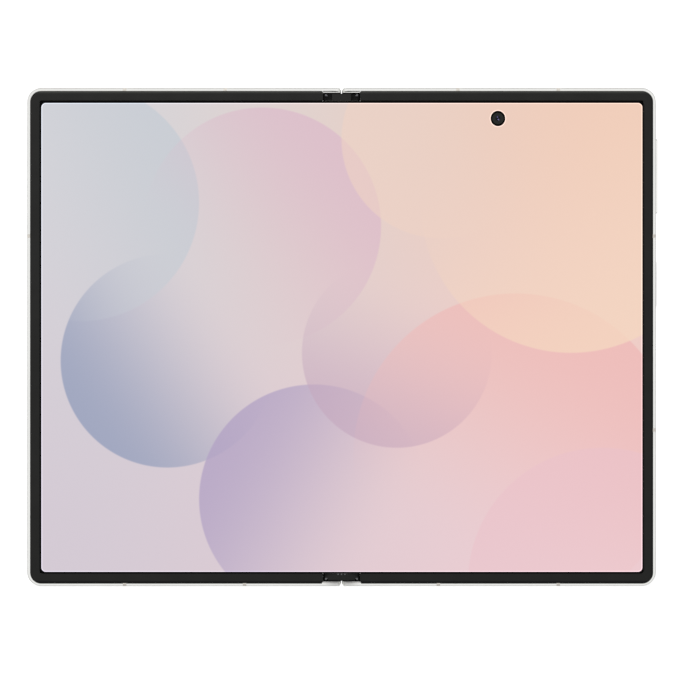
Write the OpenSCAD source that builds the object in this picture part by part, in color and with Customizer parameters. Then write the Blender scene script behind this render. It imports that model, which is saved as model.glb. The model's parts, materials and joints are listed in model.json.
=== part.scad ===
// Foldable smartphone with a book-style inner display, shown open and lying on its back.
// Two halves turn about two parallel axes in a narrow spine, and a gear train keeps them in step.
// X runs across the fold, Y along it and Z up out of the inner display. The table is z = 0.

/* [Body] */
// Width of one half, from the fold line to its outer edge
half_w = 79.5; // [78:0.1:88]
// Height of the phone, along the fold
body_h = 126; // [124:0.2:140]
// Thickness of one half, without the rear camera
half_t = 5.2; // [5.1:0.05:5.8]
// Outer corner radius, seen from the front
corner_r = 3.6; // [3:0.1:6]
// Rounding along the outer edges of the frames
edge_r = 0.7; // [0.4:0.05:0.7]
// Thickness of the frame's side walls
wall = 2.2; // [1.9:0.05:2.4]
// Thickness of the floor that carries the display
web_t = 0.5; // [0.4:0.05:0.7]
// Gap between the two frames at the fold line
fold_gap = 0.3; // [0.2:0.05:0.4]
// Rounding of the frames' back edge at the fold line
fold_edge_r = 0.5; // [0.3:0.05:0.6]
// Width of the bevel on the frames' corners at the fold line, seen from the front
notch_w = 0.45; // [0.3:0.05:0.8]
// Length of that bevel, along the fold
notch_l = 0.6; // [0.4:0.05:0.9]

/* [Inner display] */
// Width of the bright rim outside the bezel
rim_land = 0.8; // [0.75:0.05:1.1]
// Width of the dark bezel
bezel_w = 2.45; // [2:0.05:2.8]
// Height of the bezel over the frame's rim
bezel_rise = 0.05; // [0:0.01:0.1]
// Depth of the display's face below the frame's rim
display_drop = 0.3; // [0.2:0.05:0.4]
// Thickness of the flexible panel
panel_t = 0.4; // [0.3:0.05:0.5]
// Thickness of the backing plates
plate_t = 0.3; // [0.2:0.05:0.4]
// How far the panel runs under the bezel
panel_tuck = 0.9; // [0.5:0.05:1.1]
// Reach of the flexible strip to each side of the fold line
strip_reach = 4.75; // [4.7:0.05:6]
// Radius of the hole for the inner camera
eye_r = 1.86; // [1.5:0.01:2.2]
// Distance of the inner camera from the outer edge
eye_inset = 39.95; // [38:0.05:42]
// Distance of the inner camera from the top edge
eye_drop = 7.76; // [7.2:0.05:9]

/* [Spine and hinge] */
// Distance of each fold axis from the fold line
axis_x = 2; // [1.9:0.05:2.1]
// Gap between the two rims when the phone is closed
closed_gap = 0.4; // [0.3:0.05:0.6]
// Thickness of the frames' lip behind the spine
lip_t = 0.75; // [0.65:0.05:0.85]
// Clearance between the spine and the frames
spine_gap = 0.15; // [0.1:0.01:0.2]
// Wall of the spine's cover
spine_wall = 0.45; // [0.35:0.05:0.5]
// Distance of the spine's ends from the phone's top and bottom edges
spine_inset = 1.35; // [1.35:0.05:1.8]
// Width of the frames' end walls at the fold
knuckle_w = 1.2; // [1.1:0.05:1.4]
// Length of each end cap along the fold
cap_l = 1.95; // [1.5:0.05:2.1]
// Half the width of the raised middle of an end cap
cap_mid = 2.4; // [2:0.05:2.6]
// Distance of each hinge module from the phone's top and bottom edges
module_inset = 22; // [20:0.1:30]
// Number of teeth on every gear
gear_teeth = 12; // [12:2:14]
// Length of the gears
gear_l = 3; // [2:0.1:4]
// Radius of the gear shafts
shaft_r = 0.35; // [0.25:0.01:0.38]
// Length of each bearing
bearing_l = 1.6; // [1.2:0.1:2]
// Length of each hinge arm
arm_l = 1.4; // [1.2:0.1:1.8]
// Length of a bracket's foot along the fold
foot_l = 15; // [14:0.1:18]
// Reach of a bracket's foot from the fold line
foot_reach = 13.2; // [12:0.1:14]

/* [Back] */
// Thickness of the rear glass and of the cover glass
glass_t = 0.6; // [0.5:0.05:0.7]
// Width of the rim outside the rear glass
glass_inset = 0.9; // [0.85:0.01:1.2]
// Distance of the glass from the fold line
glass_start = 5; // [4.5:0.1:6]
// Width of the camera plinth
plinth_w = 17; // [16:0.1:19]
// Length of the camera plinth
plinth_l = 36; // [34:0.1:38]
// Distance of the plinth from the outer and the top edge
plinth_margin = 6; // [5:0.1:7]
// Height of the plinth over the rear glass
plinth_h = 1.2; // [0.8:0.05:1.6]
// Radius of each lens ring
ring_r = 6.6; // [6:0.1:7]
// Height of the lens rings over the plinth
ring_h = 0.5; // [0.3:0.05:0.8]
// Distance between the two rear lenses
lens_pitch = 18; // [17:0.1:19]
// Radius of the flash window
flash_r = 1.9; // [1.4:0.05:2.4]

/* [Keys and ports] */
// Length of the volume rocker
volume_l = 18.9; // [15:0.1:20]
// Distance of the volume rocker's middle from the top edge
volume_drop = 22.3; // [21:0.1:24]
// Height of the volume rocker over the frame's side
volume_out = 0.5; // [0.3:0.05:0.6]
// Length of the power key
power_l = 12.7; // [10:0.1:14]
// Distance of the power key's middle from the top edge
power_drop = 49.6; // [49:0.1:52]
// Height of the power key over the frame's side
power_out = 0.25; // [0.2:0.05:0.4]
// Width of the keys
key_w = 1.9; // [1.6:0.05:2.2]
// Width of the plug opening
socket_w = 8.34; // [8.3:0.01:8.5]
// Height of the plug opening
socket_h = 2.56; // [2.5:0.01:2.6]
// Depth of the plug opening
socket_d = 6.6; // [6:0.1:7]
// Wall of the socket's shell
socket_wall = 0.3; // [0.2:0.05:0.3]
// Radius of the speaker holes
sound_r = 0.6; // [0.4:0.05:0.7]
// Radius of the microphone holes
mic_r = 0.4; // [0.3:0.05:0.5]
// Width of the antenna breaks
break_w = 0.9; // [0.6:0.05:1.2]
// Width of the card tray's door
tray_w = 12.8; // [12:0.1:14]
// Length of the card tray
tray_l = 15; // [14.5:0.1:16]

/* [Batteries and boards] */
// Clearance around what lies in the pockets
bay_gap = 0.5; // [0.3:0.05:0.6]
// Height of the batteries
cell_t = 2.6; // [2.2:0.05:2.65]
// Thickness of the circuit boards
board_t = 0.6; // [0.5:0.05:0.8]
// Height of the shielding cans
can_h = 1.5; // [1.2:0.05:1.6]

/* [Hidden] */
$fn = 64;

// Overshoot of a cut past the face that it opens
over = 1;
// Overlap of two forms that are joined
join = 0.05;
// Clearance of pieces that fit in one another
fit = 0.05;

// Colours, as the photograph shows them
silver = [0.86, 0.86, 0.84];
dark = [0.16, 0.16, 0.16];
black_glass = [0.03, 0.03, 0.04];
steel = [0.62, 0.63, 0.65];
cell_grey = [0.3, 0.31, 0.33];
board_green = [0.08, 0.26, 0.16];
copper = [0.72, 0.45, 0.2];
amber = [0.78, 0.5, 0.16];
break_grey = [0.72, 0.69, 0.64];
dim_picture = [0.87, 0.8, 0.82];
pale_glass = [0.9, 0.9, 0.89];
warm_white = [0.93, 0.9, 0.72];

// Heights, from the back plane of the halves up
camera_h = plinth_h + ring_h;
display_z = half_t - display_drop;
panel_z = display_z - panel_t;
web_top = panel_z - plate_t;
web_z = web_top - web_t;
axis_z = half_t - axis_x + closed_gap / 2;
mid_z = half_t / 2;
seal_t = 0.1;
seat_t = glass_t + seal_t;

// The spine's outside is Rs round each axis, and the frames' channel is one clearance wider
channel_r = axis_z - lip_t;
spine_r = channel_r - spine_gap;
channel_edge = axis_x + channel_r;
channel_y = body_h / 2 - knuckle_w;
spine_y = body_h / 2 - spine_inset;
spine_top = axis_z - 0.7;
rim_y = body_h / 2 - rim_land;
upper_lip = [0.25, 0.9];
lower_lip = [0.6, 0.6];

// Ends of the spine: one cap with a raised middle, one with a round top, both over a low floor
cap_in = spine_y - cap_l;
cap_out = spine_y - 0.2;
cap_floor = axis_z - 0.3;
cap_wall = 0.25;
cap_crown_r = 14;
cap_top = display_z - 0.05;
pin_r = 0.18;
pin_pitch = 0.85;
clip_x = 3.45;
clip_w = 0.7;
clip_l = 0.5;
clip_top = axis_z + 0.7;
strip_y = cap_in - 0.07;
module_y = body_h / 2 - module_inset;

// The bezel stands between the rim and the lit part of the display
bezel_gap = 0.03;
bezel_start = channel_edge;
bezel_edge_r = 0.15;
seat_corner_r = 0.6;
panel_inset = rim_land + bezel_w - panel_tuck;
eye_x = half_w - eye_inset;
eye_y = body_h / 2 - eye_drop;

// Gears: four alike in a row between the two fold axes
gear_pitch_r = axis_x / 3;
gear_module = 2 * gear_pitch_r / gear_teeth;
idler_x = gear_pitch_r;
shaft_fit = 0.04;
arm_y = gear_l / 2 + bearing_l + fit + arm_l / 2;
arm_low = 0.4;
arm_high = 0.5;
hub_r = 0.72;
foot_start = channel_edge + 0.3;
foot_top = axis_z + arm_high;
block_l = 2 * (arm_y + arm_l / 2) + 2;
block_top = axis_z - gear_pitch_r - gear_module - 0.03;
block_low = axis_z - spine_r + spine_wall + 0.02;
block_screw_r = 0.45;
block_screw_y = block_l / 2 - 0.9;
bearing_reach = axis_x + 0.75;
bearing_top = axis_z + 0.7;
screw_r = 0.6;
screw_head_r = 1.1;
screw_head_h = 0.22;
screw_z = seat_t + 0.5;
screw_places = [[foot_start + 2.3, 5.6], [foot_start + 2.3, -5.6], [foot_reach - 2, 0]];

// Pockets of the frames, on the back side
bay_start = foot_reach + 0.3;
bay_end = half_w - wall;
bay_y = body_h / 2 - wall;
upper_rib = body_h / 2 - plinth_margin - plinth_l - 2.4;
lower_rib = -bay_y + 24.2;
rib = 1;
key_bay = 2.4;

// Rear camera
plinth_x = half_w - plinth_margin - plinth_w / 2;
plinth_y = body_h / 2 - plinth_margin - plinth_l / 2;
plinth_edge_r = 0.4;
camera_hole_r = 5.2;
lens_r = 5;
flash_x = plinth_x - plinth_w / 2 - 5;
flash_y = plinth_y + 8;

// Keys and ports
volume_y = body_h / 2 - volume_drop;
power_y = body_h / 2 - power_drop;
key_flange_x = half_w - wall - 0.7;
key_flange_t = 0.5;
key_flange_h = 2 * (web_z - mid_z) - 2 * fit;
key_bay_low = power_y - power_l / 2 - 2;
key_bay_high = volume_y + volume_l / 2 + 2;
socket_x = half_w / 2;
socket_z = half_t / 2 - 0.15;
socket_lip = 0.3;
tongue_w = 6.69;
tongue_t = 0.7;
tongue_l = 4.9;
sound_count = 5;
sound_pitch = 1.65;
lower_sound_x = socket_x + socket_w / 2 + 2.6;
upper_sound_x = plinth_x - 4.5;
mic_x = socket_x - 9;
break_d = 1.7;
outer_break_x = half_w - 24.7;
upper_break_x = half_w - 50.1;
lower_break_x = half_w - 55;
upper_mic_x = upper_break_x + 4;
upper_break_y = body_h / 2 - 37.5;
lower_break_y = 39.5 - body_h / 2;
tray_x = outer_break_x - 9.1;
tray_door_h = 1.9;
tray_door_t = 1.2;
tray_body_w = 10.4;
tray_body_t = 1.2;
card_w = 8.8;
card_l = 12.3;

// Flat cable that joins the two boards over the spine
flex_y = module_y - foot_l / 2 - 5;
flex_w = 5;
flex_t = 0.12;
flex_z = web_top - 0.3;
flex_reach = bay_start + 5;
plug_l = 3;

// --- Helpers -------------------------------------------------------------------------------

// Lifts a form of the main half to its place over the table
module main_side() translate([0, 0, camera_h]) children();

// Turns a form of the main half into one of the cover half
module cover_side() translate([0, 0, camera_h]) mirror([1, 0, 0]) children();

// Runs a profile drawn across the fold (X, Z) along the fold, from y0 to y1
module along_fold(y0, y1) translate([0, y1, 0]) rotate([90, 0, 0]) linear_extrude(y1 - y0) children();

// A form and its mirror image across the middle of the fold
module both_ends() for (m = [0, 1]) mirror([0, m, 0]) children();

// A form at every hinge module
module at_modules() for (y = [-module_y, module_y]) translate([0, y, 0]) children();

// Rectangle from x0 to x1, y1 high on both sides of the X axis, with one corner radius at each end
module tile(x0, x1, y1, r0, r1) {
  translate([x0 + r0, -y1]) square([x1 - x0 - r0 - r1, 2 * y1]);
  translate([x0, -y1 + r0]) square([r0, 2 * (y1 - r0)]);
  translate([x1 - r1, -y1 + r1]) square([r1, 2 * (y1 - r1)]);
  for (s = [-1, 1]) {
    translate([x0 + r0, s * (y1 - r0)]) circle(r0);
    translate([x1 - r1, s * (y1 - r1)]) circle(r1);
  }
}

// Slot of length l along X and width w, with round ends, centred
module slot(l, w) {
  square([l - w, w], center = true);
  for (s = [-1, 1]) translate([s * (l - w) / 2, 0]) circle(w / 2);
}

// A slab from corner to corner
module slab(x0, y0, z0, x1, y1, z1) translate([x0, y0, z0]) cube([x1 - x0, y1 - y0, z1 - z0]);

// Sweeps a profile round the three outer sides of a half. X = 0 in the profile is the outer face,
// x0 is where the sweep starts at the fold.
module round_rim(x0) {
  both_ends() {
    translate([x0, body_h / 2, 0]) rotate([90, 0, 90]) linear_extrude(half_w - corner_r - x0) children();
    translate([half_w - corner_r, body_h / 2 - corner_r, 0])
      rotate_extrude(angle = 90) translate([corner_r, 0]) children();
  }
  translate([half_w, body_h / 2 - corner_r, 0])
    rotate([90, 0, 0]) linear_extrude(body_h - 2 * corner_r) children();
}

// Section with round outer edges, from the outer face in to the depth d
module rim_section(d, z0, z1, r) {
  translate([-d, z0]) square([d - r, z1 - z0]);
  translate([-r - join, z0 + r]) square([r + join, z1 - z0 - 2 * r]);
  for (z = [z0 + r, z1 - r]) translate([-r, z]) circle(r);
}

// --- Frames --------------------------------------------------------------------------------

// The whole outer form of a half, with its rounded rim
module half_form() {
  round_rim(fold_gap / 2) rim_section(wall, 0, half_t, edge_r);
  slab(fold_gap / 2, -bay_y - join, 0, bay_end + join, bay_y + join, half_t);
}

// What the spine sweeps through, across the fold
module channel_section() {
  translate([axis_x, axis_z]) circle(channel_r);
  translate([-over, lip_t]) square([axis_x + over, half_t]);
  translate([-over, axis_z]) square([channel_edge + over, half_t]);
}

// Everything cut away so that two halves can turn about their own axes without meeting
module knuckle_relief_section() {
  difference() {
    translate([-over, axis_z]) square([axis_x + over, half_t]);
    translate([axis_x, axis_z]) circle(axis_x - fold_gap / 2);
  }
  difference() {
    translate([-over, -over]) square([over + fold_gap / 2 + fold_edge_r, over + fold_edge_r]);
    translate([fold_gap / 2 + fold_edge_r, fold_edge_r]) circle(fold_edge_r);
  }
}

// Bevel that opens the gap between the frames toward the phone's edge
module notch_cut() both_ends() translate([fold_gap / 2, body_h / 2, -over])
  linear_extrude(half_t + 2 * over) polygon([
    [-over, -notch_l], [0, -notch_l], [notch_w, 0], [notch_w, over], [-over, over]
  ]);

// Seat of the display and the bezel
module display_seat() translate([0, 0, web_top]) linear_extrude(half_t)
  tile(channel_edge - join, half_w - rim_land, rim_y, seat_corner_r, corner_r - rim_land);

// Lowered step on the frame's end walls beside the spine. It is given as [length of the slope, depth].
module lip_cut(side, lip) mirror([0, side > 0 ? 0 : 1, 0]) translate([-over, 0, 0])
  rotate([90, 0, 90]) linear_extrude(channel_edge + over) polygon([
    [channel_y - over, half_t - lip[1]], [rim_y - lip[0], half_t - lip[1]], [rim_y, half_t],
    [rim_y, half_t + over], [channel_y - over, half_t + over]
  ]);

// Seat of the glass on the back
module glass_seat() translate([0, 0, -over]) linear_extrude(over + seat_t)
  tile(glass_start, half_w - glass_inset, body_h / 2 - glass_inset, 0.6, corner_r - glass_inset);

// Outline of the glass, seen from the back
module glass_outline() tile(
  glass_start + fit, half_w - glass_inset - fit, body_h / 2 - glass_inset - fit,
  0.6 - fit, corner_r - glass_inset - fit);

// Pocket on the back side, from the glass up to the display's floor
module pocket(x0, y0, x1, y1, top = web_z)
  translate([0, (y0 + y1) / 2, seat_t - join]) linear_extrude(top - seat_t + join)
    tile(x0, x1, (y1 - y0) / 2, 0.8, 0.8);

// The three pockets of a frame, with ribs between them
module pockets() {
  pocket(bay_start, upper_rib + rib, bay_end, bay_y);
  pocket(bay_start, lower_rib, bay_end, upper_rib);
  pocket(bay_start, -bay_y, bay_end, lower_rib - rib);
}

// The frame before its own openings: rim, display floor, lip and seats
module frame_blank() difference() {
  half_form();
  along_fold(-channel_y, channel_y) channel_section();
  along_fold(-body_h, body_h) knuckle_relief_section();
  notch_cut();
  display_seat();
  lip_cut(1, upper_lip);
  lip_cut(-1, lower_lip);
  glass_seat();
}

// Pockets and holes that hold the hinge brackets, and the passage of the flat cable
module hinge_pockets() {
  at_modules() {
    slab(channel_edge - over, -foot_l / 2 - fit, axis_z - arm_low - fit,
      foot_reach + fit, foot_l / 2 + fit, half_t);
    for (p = screw_places) translate([p[0], p[1], screw_z]) cylinder(r = screw_r, h = half_t);
  }
  slab(channel_edge - over, flex_y - flex_w / 2 - 0.5, flex_z - 0.1,
    flex_reach + 0.5, flex_y + flex_w / 2 + 0.5, half_t);
  slab(flex_reach - plug_l - 0.5, flex_y - flex_w / 2 - 0.5, web_z - over,
    flex_reach + 0.5, flex_y + flex_w / 2 + 0.5, half_t);
}

// Boxes that cut the rim where the antennas end, on a list of [x] at one end wall
module end_breaks(places, side) for (x = places)
  slab(x - break_w / 2, side * body_h / 2 - (side > 0 ? break_d : over), -over,
    x + break_w / 2, side * body_h / 2 + (side > 0 ? over : break_d), half_t + over);

module side_breaks(places) for (y = places)
  slab(half_w - break_d, y - break_w / 2, -over, half_w + over, y + break_w / 2, half_t + over);

module main_breaks() {
  end_breaks([outer_break_x, upper_break_x], 1);
  end_breaks([outer_break_x, lower_break_x], -1);
  side_breaks([upper_break_y, lower_break_y]);
}

module cover_breaks() {
  end_breaks([outer_break_x, upper_break_x], 1);
  end_breaks([outer_break_x, lower_break_x], -1);
  side_breaks([upper_break_y]);
}

// Row of round sound holes through an end wall
module sound_row(x, side) for (i = [0:sound_count - 1])
  translate([x + i * sound_pitch, side * (body_h / 2 - wall / 2), mid_z])
    rotate([90, 0, 0]) cylinder(r = sound_r, h = wall + 2 * over, center = true);

module mic_hole(x, side) translate([x, side * (body_h / 2 - wall / 2), mid_z])
  rotate([90, 0, 0]) cylinder(r = mic_r, h = wall + 2 * over, center = true);

// Slot for a key through the outer wall
module key_slot(y, l) translate([bay_end - over, y, mid_z])
  rotate([90, 0, 90]) linear_extrude(wall + 2 * over) slot(l + 4 * fit, key_w + 4 * fit);

module socket_hole() translate([socket_x, -body_h / 2 - over, socket_z])
  rotate([-90, 0, 0]) linear_extrude(over + socket_d + 2) mirror([0, 1])
    slot(socket_w + 2 * socket_wall + 2 * fit, socket_h + 2 * socket_wall + 2 * fit);

module main_frame() color(silver) difference() {
  frame_blank();
  pockets();
  pocket(cell_end, key_bay_low, bay_end, key_bay_high);
  hinge_pockets();
  main_breaks();
  sound_row(lower_sound_x, -1);
  sound_row(upper_sound_x, 1);
  mic_hole(mic_x, -1);
  mic_hole(upper_mic_x, 1);
  key_slot(volume_y, volume_l);
  key_slot(power_y, power_l);
  socket_hole();
  translate([eye_x, eye_y, web_z - over]) cylinder(r = eye_r + 0.9, h = web_t + 2 * over);
}

// The rim alone, which the antenna breaks fill up again
module break_form() difference() {
  half_form();
  display_seat();
  glass_seat();
}

module main_antenna_breaks() color(break_grey) intersection() {
  break_form();
  main_breaks();
}

module cover_frame() color(silver) difference() {
  frame_blank();
  pockets();
  pocket(bay_start, -bay_y, bay_end, bay_y, glass_t + cover_stack - 0.1);
  hinge_pockets();
  cover_breaks();
  mic_hole(upper_mic_x, 1);
  tray_slot();
}

module cover_antenna_breaks() color(break_grey) intersection() {
  break_form();
  cover_breaks();
}

// --- Inner display -------------------------------------------------------------------------

// Backing plate of one half
module display_plate(eye) color(steel) translate([0, 0, web_top]) linear_extrude(plate_t) difference() {
  tile(strip_reach, half_w - panel_inset, body_h / 2 - panel_inset, 0.3, corner_r - panel_inset + 0.4);
  if (eye) translate([eye_x, eye_y]) circle(eye_r + 0.3);
}

// Flexible panel on one half
module display_panel(eye) color(dim_picture) translate([0, 0, panel_z])
  linear_extrude(panel_t) difference() {
    tile(strip_reach, half_w - panel_inset, body_h / 2 - panel_inset, 0.3, corner_r - panel_inset + 0.4);
    if (eye) translate([eye_x, eye_y]) circle(eye_r);
  }

// Dark frame that covers the panel's edge: a foot on the display's floor and a lip over the panel
module bezel_section() {
  r = bezel_edge_r;
  top = half_t + bezel_rise;
  low = display_z + 0.02;
  foot_in = panel_inset - bezel_gap;
  x0 = -rim_land - bezel_w;
  w = bezel_w - bezel_gap;
  translate([-foot_in, web_top]) square([foot_in - rim_land - bezel_gap, top - web_top - r]);
  translate([x0 + r, low]) square([w - 2 * r, top - low]);
  translate([x0, low]) square([w, top - low - r]);
  for (x = [x0 + r, x0 + w - r]) translate([x, top - r]) circle(r);
}

module bezel() color(dark) difference() {
  round_rim(bezel_start) bezel_section();
  // the corners at the fold are round, seen from the front
  both_ends() translate([bezel_start, 0, web_top - over]) linear_extrude(half_t) {
    corner_cut(rim_y - bezel_w, bezel_edge_r, -1);
    corner_cut(rim_y - bezel_gap, seat_corner_r, 1);
  }
}

// What lies outside a round corner of radius r at [0, y], on the side given
module corner_cut(y, r, side) difference() {
  translate([-over, side > 0 ? y - r : y - over]) square([over + r, r + over]);
  translate([r, y - side * r]) circle(r);
}

// Part of the panel that bends when the phone folds
module fold_strip() color(dim_picture)
  slab(-strip_reach, -strip_y, panel_z, strip_reach, strip_y, display_z);

// Slotted plate under the strip, which bends with it
module fold_lattice() color(steel) translate([0, 0, panel_z - 0.15]) linear_extrude(0.15) difference() {
  square([2 * strip_reach, 2 * strip_y], center = true);
  for (row = [-4:4], i = [-6:6])
    translate([row, i * strip_y / 7 + (row % 2 == 0 ? 0 : strip_y / 14)])
      square([0.3, strip_y / 7 - 1.2], center = true);
}

// --- Spine and hinge -----------------------------------------------------------------------

// Lower half of a slot shape that is round about both fold axes
module spine_section(r) {
  for (s = [-1, 1]) translate([s * axis_x, axis_z]) circle(r);
  translate([-axis_x, axis_z - r]) square([2 * axis_x, 2 * r]);
}

module below(z) intersection() {
  children();
  translate([-half_w, -over]) square([2 * half_w, z + over]);
}

module spine_cover() color(silver) difference() {
  along_fold(-spine_y, spine_y) below(spine_top) spine_section(spine_r);
  along_fold(-spine_y + 0.6, spine_y - 0.6) spine_section(spine_r - spine_wall);
}

// Slice of the spine between two heights, from y0 to y1
module spine_slice(y0, y1, z0, z1) along_fold(y0, y1) intersection() {
  spine_section(spine_r - fit);
  translate([-half_w, z0]) square([2 * half_w, z1 - z0]);
}

// Upper cap: a raised middle between two low steps, with a thin wall beside the display
module upper_cap() {
  spine_slice(cap_in, spine_y, spine_top + 0.02, cap_floor);
  spine_slice(cap_in, cap_in + cap_wall, cap_floor - join, display_z - 0.35);
  along_fold(cap_in, cap_out) translate([-cap_mid, cap_floor - join])
    square([2 * cap_mid, display_z + 0.1 - cap_floor + join]);
}

// Lower cap: a top that is round across the fold, with the clips' places and three holes for pins
module lower_cap() difference() {
  intersection() {
    spine_slice(cap_in, spine_y, spine_top + 0.02, half_t);
    along_fold(cap_in, spine_y) translate([0, cap_top - cap_crown_r]) circle(cap_crown_r, $fn = 256);
  }
  for (s = [-1, 1])
    slab(min(s * clip_x, s * half_w) - fit, cap_out - clip_l - fit, cap_floor,
      max(s * clip_x, s * half_w) + fit, spine_y + over, half_t);
  at_pins() cylinder(r = pin_r + 0.02, h = half_t);
}

// Pins beside the display, in the lower cap
module at_pins() for (i = [-1:1]) translate([i * pin_pitch, cap_in + pin_r + 0.1, cap_floor]) children();

// Caps that close the spine beside the two ends of the display
module spine_end_caps() color(dark) {
  upper_cap();
  mirror([0, 1, 0]) lower_cap();
}

// Clips that hold the end caps down at their outer corners, and the pins of the lower cap
module end_cap_clips() color(steel) {
  both_ends() for (m = [0, 1]) mirror([m, 0, 0])
    translate([clip_x, cap_out, cap_floor]) linear_extrude(clip_top - cap_floor)
      polygon([[0, -clip_l], [clip_w, -clip_l], [clip_w, 0], [clip_w - 0.3, 0]]);
  mirror([0, 1, 0]) at_pins() cylinder(r = pin_r, h = cap_top + 0.05 - cap_floor);
}

// Bearing blocks in the spine, one at each hinge module
module hinge_blocks() color(steel) at_modules() difference() {
  union() {
    along_fold(-block_l / 2, block_l / 2) intersection() {
      spine_section(spine_r - spine_wall - 0.02);
      translate([-half_w, 0]) square([2 * half_w, block_top]);
    }
    for (s = [-1, 1]) translate([0, s * (gear_l + bearing_l) / 2, block_top - join])
      along_fold(-bearing_l / 2, bearing_l / 2)
        translate([-bearing_reach, 0]) square([2 * bearing_reach, bearing_top - block_top + join]);
  }
  for (x = [-axis_x, -idler_x, idler_x, axis_x]) translate([x, 0, axis_z])
    rotate([90, 0, 0]) cylinder(r = shaft_r + shaft_fit, h = block_l, center = true);
  for (s = [-1, 1]) translate([0, s * block_screw_y, 0]) cylinder(r = block_screw_r, h = half_t);
}

module hinge_block_screws() color(steel) at_modules() for (s = [-1, 1]) {
  translate([0, s * block_screw_y, block_low])
    cylinder(r = block_screw_r, h = block_top - block_low + join);
  translate([0, s * block_screw_y, block_top]) cylinder(r = 0.8, h = 0.25);
}

// Involute gear outline: half the angle of a tooth at radius r
pressure = 20;
backlash = 0.03;
function spread(r) = let (b = gear_pitch_r * cos(pressure), c = min(1, b / r))
  tan(acos(c)) * 180 / PI - acos(c);
function half_tooth(r) =
  90 / gear_teeth - backlash / 2 / gear_pitch_r * 180 / PI + spread(gear_pitch_r) - spread(r);
function polar(r, a) = [r * cos(a), r * sin(a)];
gear_base_r = gear_pitch_r * cos(pressure);
gear_tip_r = gear_pitch_r + 0.85 * gear_module;
gear_root_r = gear_pitch_r - 1.15 * gear_module;
flank = [gear_root_r, gear_base_r, (gear_base_r + gear_tip_r) / 2, gear_tip_r];
function gear_outline(turn) = [
  for (t = [0:gear_teeth - 1]) each let (a = turn + t * 360 / gear_teeth) [
    for (r = flank) polar(r, a - half_tooth(r)),
    for (i = [3:-1:0]) polar(flank[i], a + half_tooth(flank[i]))
  ]
];

// Gear and shaft in one, turned by a share of a tooth
module gear_shaft(x, length, turn) translate([x, 0, axis_z]) {
  rotate([90, 0, 0]) cylinder(r = shaft_r, h = length, center = true);
  rotate([90, 0, 0]) linear_extrude(gear_l - 2 * fit, center = true)
    polygon(gear_outline(turn * 360 / gear_teeth));
}

shaft_l = 2 * arm_y + arm_l;
idler_l = gear_l + 2 * bearing_l - 0.2;

module main_gear_shafts() color(steel) at_modules() gear_shaft(axis_x, shaft_l, 0);
module cover_gear_shafts() color(steel) at_modules() gear_shaft(-axis_x, shaft_l, 0.5);
module main_idler_gears() color(steel) at_modules() gear_shaft(idler_x, idler_l, 0.5);
module cover_idler_gears() color(steel) at_modules() gear_shaft(-idler_x, idler_l, 0);

// Bracket that carries a half: two arms on the gear shaft and a foot screwed to the frame
module hinge_brackets() color(steel) at_modules() difference() {
  union() {
    slab(foot_start, -foot_l / 2, axis_z - arm_low, foot_reach, foot_l / 2, foot_top);
    for (s = [-1, 1]) translate([0, s * arm_y, 0]) along_fold(-arm_l / 2, arm_l / 2) {
      translate([axis_x, axis_z]) circle(hub_r);
      translate([axis_x, axis_z - arm_low]) square([foot_start - axis_x + join, arm_low + arm_high]);
    }
  }
  translate([axis_x, 0, axis_z]) rotate([90, 0, 0]) cylinder(r = shaft_r, h = foot_l, center = true);
  for (p = screw_places) translate([p[0], p[1], 0]) cylinder(r = screw_r, h = half_t);
}

module bracket_screws() color(steel) at_modules() for (p = screw_places) translate([p[0], p[1], 0]) {
  translate([0, 0, screw_z + fit]) cylinder(r = screw_r, h = foot_top - screw_z - fit);
  translate([0, 0, foot_top]) cylinder(r = screw_head_r, h = screw_head_h);
}

// Flat cable that joins the boards of the two halves over the spine, with a plug at each end
module hinge_flex() color(amber) {
  slab(-flex_reach, flex_y - flex_w / 2, flex_z, flex_reach, flex_y + flex_w / 2, flex_z + flex_t);
  for (m = [0, 1]) mirror([m, 0, 0])
    slab(flex_reach - plug_l, flex_y - flex_w / 2, board_z + board_t,
      flex_reach, flex_y + flex_w / 2, flex_z + join);
}

// --- Back of the main half -----------------------------------------------------------------

module plinth_outline(grow = 0) translate([plinth_x, plinth_y]) rotate(90)
  slot(plinth_l + 2 * grow, plinth_w + 2 * grow);

module at_lenses() for (s = [-1, 1]) translate([plinth_x, plinth_y + s * lens_pitch / 2, 0]) children();

module rear_glass() color(pale_glass) linear_extrude(glass_t) difference() {
  glass_outline();
  plinth_outline(fit);
  translate([flash_x, flash_y]) circle(flash_r + fit);
}

// Ring of adhesive between a glass and its frame, on the ledge round the pockets
module glass_seal() color(dark) translate([0, 0, glass_t]) linear_extrude(seal_t) difference() {
  inset = glass_inset + 0.2;
  tile(glass_start + 0.3, half_w - inset, body_h / 2 - inset, 0.4, corner_r - inset);
  tile(glass_start + 1.5, bay_end + 0.1, bay_y + 0.1, 0.4, 0.8);
}

// Metal plinth round the lenses, with a rounded edge outside and a flange behind the glass
module camera_plinth() color(silver) difference() {
  r = plinth_edge_r;
  union() {
    translate([0, 0, -plinth_h + r]) linear_extrude(plinth_h - r + glass_t + 0.02) plinth_outline();
    translate([0, 0, glass_t + 0.02]) linear_extrude(0.25) plinth_outline(1);
    translate([0, 0, -plinth_h]) linear_extrude(r) plinth_outline(-r);
    plinth_edge(r);
  }
  at_lenses() translate([0, 0, -plinth_h - over])
    cylinder(r = camera_hole_r, h = plinth_h + glass_t + 2 * over);
}

// Rounded outer edge of the plinth: a torus round each end and a rod along each side
module plinth_edge(r) translate([plinth_x, plinth_y, -plinth_h + r]) for (s = [-1, 1]) {
  translate([0, s * (plinth_l - plinth_w) / 2, 0])
    rotate_extrude() translate([plinth_w / 2 - r, 0]) circle(r);
  translate([s * (plinth_w / 2 - r), 0, 0]) rotate([90, 0, 0])
    cylinder(r = r, h = plinth_l - plinth_w, center = true);
}

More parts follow.
